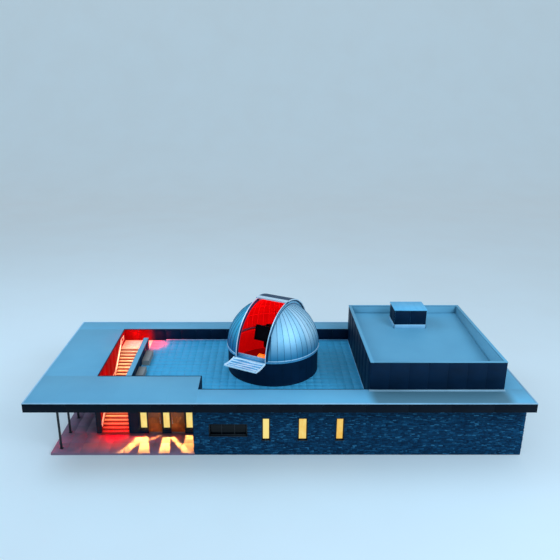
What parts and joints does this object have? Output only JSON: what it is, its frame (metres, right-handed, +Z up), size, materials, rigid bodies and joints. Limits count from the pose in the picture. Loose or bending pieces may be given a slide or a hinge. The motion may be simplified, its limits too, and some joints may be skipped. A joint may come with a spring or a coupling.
{
  "type": "observatory building with a turning dome",
  "caption": "Flat-roofed stone observatory building with a sunken roof terrace, outside stair, raised hall and a turning domed telescope room with an open slit.",
  "frame": {"origin": "middle of the footprint at ground level", "axes": "+X along the front to the right, +Y to the back, +Z up"},
  "size_m": [36, 15, 9.8496],
  "materials": {
    "roof_membrane": "pale single-ply roofing membrane, matte",
    "navy_panel": "dark blue-black coated metal panels, satin",
    "ledgestone": "stacked split-face slate ledgestone",
    "concrete": "cast concrete, lightly trowelled",
    "pavers": "square terrace pavers, matte",
    "dome_metal": "mill-finish sheet with standing seams",
    "lit_glass": "window glass lit from inside",
    "door_wood": "brown stained timber",
    "black_metal": "black powder coat",
    "steel": "brushed"
  },
  "bodies": {
    "building": {"porch_slab": "concrete", "ground_floor": "concrete", "front_stone_wall": "ledgestone", "corner_pier": "ledgestone", "porch_side_wall": "ledgestone", "east_wall": "ledgestone", "back_wall": "ledgestone", "stair_west_wall": "navy_panel", "front_window_glass": "lit_glass", "back_window_glass": "lit_glass", "entrance_wall_west": "navy_panel", "entrance_wall_middle": "navy_panel", "entrance_wall_east": "navy_panel", "entrance_wall_over": "navy_panel", "entrance_glass_west": "lit_glass", "entrance_glass_middle": "lit_glass", "entrance_glass_east": "lit_glass", "stair_lower_flight": "concrete", "stair_upper_flight": "concrete", "stair_top_landing": "concrete", "stair_guard_wall": "navy_panel", "stair_handrail": "steel", "terrace_floor": "pavers", "terrace_parapet": "navy_panel", "terrace_bench_back": "concrete", "terrace_bench_front": "concrete", "roof_front_west": "roof_membrane", "roof_front_east": "roof_membrane", "roof_west": "roof_membrane", "roof_back": "roof_membrane", "roof_east": "roof_membrane", "canopy_posts": "black_metal", "hall_west_wall": "navy_panel", "hall_front_wall": "navy_panel", "hall_back_wall": "navy_panel", "hall_east_wall": "navy_panel", "hall_roof": "roof_membrane", "hall_roof_hatch": "navy_panel", "drum_wall_1": "navy_panel", "drum_wall_2": "navy_panel", "drum_wall_3": "navy_panel", "drum_wall_4": "navy_panel", "telescope_pier": "steel"},
    "dome": {"dome_base_ring": "dome_metal", "dome_skin_left": "dome_metal", "dome_skin_right": "dome_metal", "dome_skin_back": "dome_metal", "slit_sill": "dome_metal", "arch_rail_left": "dome_metal", "arch_rail_right": "dome_metal"},
    "shutter": {"slit_shutter": "dome_metal"},
    "drop_door": {"slit_drop_door": "dome_metal"},
    "door_west": {"entrance_door_west": "door_wood"},
    "door_east": {"entrance_door_east": "door_wood"},
    "telescope_mount": {"telescope_fork": "black_metal"},
    "telescope": {"telescope_tube": "black_metal"}
  },
  "joints": [
    {"name": "dome_turn", "type": "hinge", "parent": "building", "child": "dome", "pos_m": [-0.36, 0.63, 5.97], "axis": [0, 0, 1], "continuous": true},
    {"name": "shutter_slide", "type": "hinge", "parent": "dome", "child": "shutter", "pos_m": [-0.36, 0.63, 5.97], "axis": [0.8829, -0.4695, 0], "range_deg": [0, 60.5]},
    {"name": "drop_door_hinge", "type": "hinge", "parent": "dome", "child": "drop_door", "pos_m": [-2.17216, -2.77818, 6], "axis": [-0.8829, 0.4695, 0], "range_deg": [0, 104]},
    {"name": "entrance_door_west_hinge", "type": "hinge", "parent": "building", "child": "door_west", "pos_m": [-10.0875, -3.6723, 0.15], "axis": [0, 0, -1], "range_deg": [0, 90]},
    {"name": "entrance_door_east_hinge", "type": "hinge", "parent": "building", "child": "door_east", "pos_m": [-7.2725, -3.6723, 0.15], "axis": [0, 0, 1], "range_deg": [0, 90]},
    {"name": "telescope_azimuth", "type": "hinge", "parent": "building", "child": "telescope_mount", "pos_m": [-0.36, 0.63, 5.7], "axis": [0, 0, 1], "continuous": true},
    {"name": "telescope_altitude", "type": "hinge", "parent": "telescope_mount", "child": "telescope", "pos_m": [-0.36, 0.63, 6.92], "axis": [-0.8829, 0.4695, 0], "range_deg": [-8, 72]}
  ]
}
